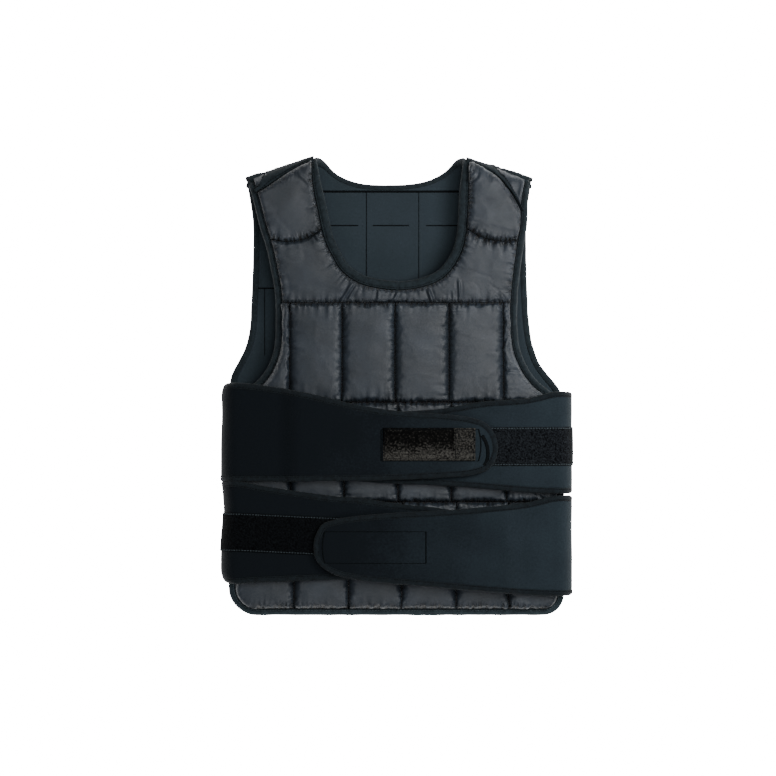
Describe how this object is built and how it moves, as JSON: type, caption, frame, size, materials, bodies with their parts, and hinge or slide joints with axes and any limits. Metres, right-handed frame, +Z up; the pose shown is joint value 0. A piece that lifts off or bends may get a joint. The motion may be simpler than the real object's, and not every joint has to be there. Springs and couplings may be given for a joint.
{
  "type": "weighted vest",
  "caption": "Quilted weighted vest laid flat on its back, with filled pockets, bound edges and two pairs of neoprene side wraps closed across the front with hook and loop tape.",
  "frame": {"origin": "middle of the bounding box, at the floor under the vest's back", "axes": "+Y from the hem to the shoulders, +X to the right as seen from the front, +Z up from the back to the front of the vest"},
  "size_m": [0.4592, 0.5988, 0.0804],
  "materials": {
    "quilt": "slate grey woven nylon, quilted, slight satin sheen",
    "lining": "knit-faced neoprene, matt",
    "binding": "dark knitted binding tape, matt",
    "neoprene": "black-blue knit-faced neoprene, matt",
    "loop_tape": "black brushed loop tape, fuzzy",
    "hook_tape": "black moulded hook tape",
    "satin": "black woven satin, sheen"
  },
  "bodies": {
    "root": {"pocket_row1_1": "quilt", "pocket_row1_2": "quilt", "pocket_row1_3": "quilt", "pocket_row1_4": "quilt", "pocket_row1_5": "quilt", "pocket_row1_6": "quilt", "pocket_row2_1": "quilt", "pocket_row2_2": "quilt", "pocket_row2_3": "quilt", "pocket_row2_4": "quilt", "pocket_row2_5": "quilt", "pocket_row2_6": "quilt", "pocket_row3_1": "quilt", "pocket_row3_2": "quilt", "pocket_row3_3": "quilt", "pocket_row3_4": "quilt", "pocket_row3_5": "quilt", "pocket_row3_6": "quilt", "back_channel_1": "quilt", "back_channel_2": "quilt", "back_channel_3": "quilt", "back_channel_4": "quilt", "back_channel_5": "quilt", "back_channel_6": "quilt", "back_channel_7": "quilt", "shoulder_pad_left": "quilt", "back_shoulder_left": "quilt", "shoulder_seam_left": "binding", "armhole_binding_left": "binding", "shoulder_pad_right": "quilt", "back_shoulder_right": "quilt", "shoulder_seam_right": "binding", "armhole_binding_right": "binding", "front_yoke": "quilt", "back_yoke": "quilt", "front_lining": "lining", "back_lining": "lining", "neck_binding": "binding", "front_edge_binding": "binding", "back_edge_binding": "binding", "wrap_upper_left": "neoprene", "wrap_binding_upper_left": "binding", "wrap_upper_right": "neoprene", "wrap_binding_upper_right": "binding", "wrap_lower_left": "neoprene", "wrap_binding_lower_left": "binding", "wrap_lower_right": "neoprene", "wrap_binding_lower_right": "binding", "loop_tape_upper": "loop_tape", "hook_tape_upper": "hook_tape", "loop_tape_lower": "loop_tape", "hook_tape_lower": "hook_tape", "label_patch": "satin"}
  },
  "joints": []
}
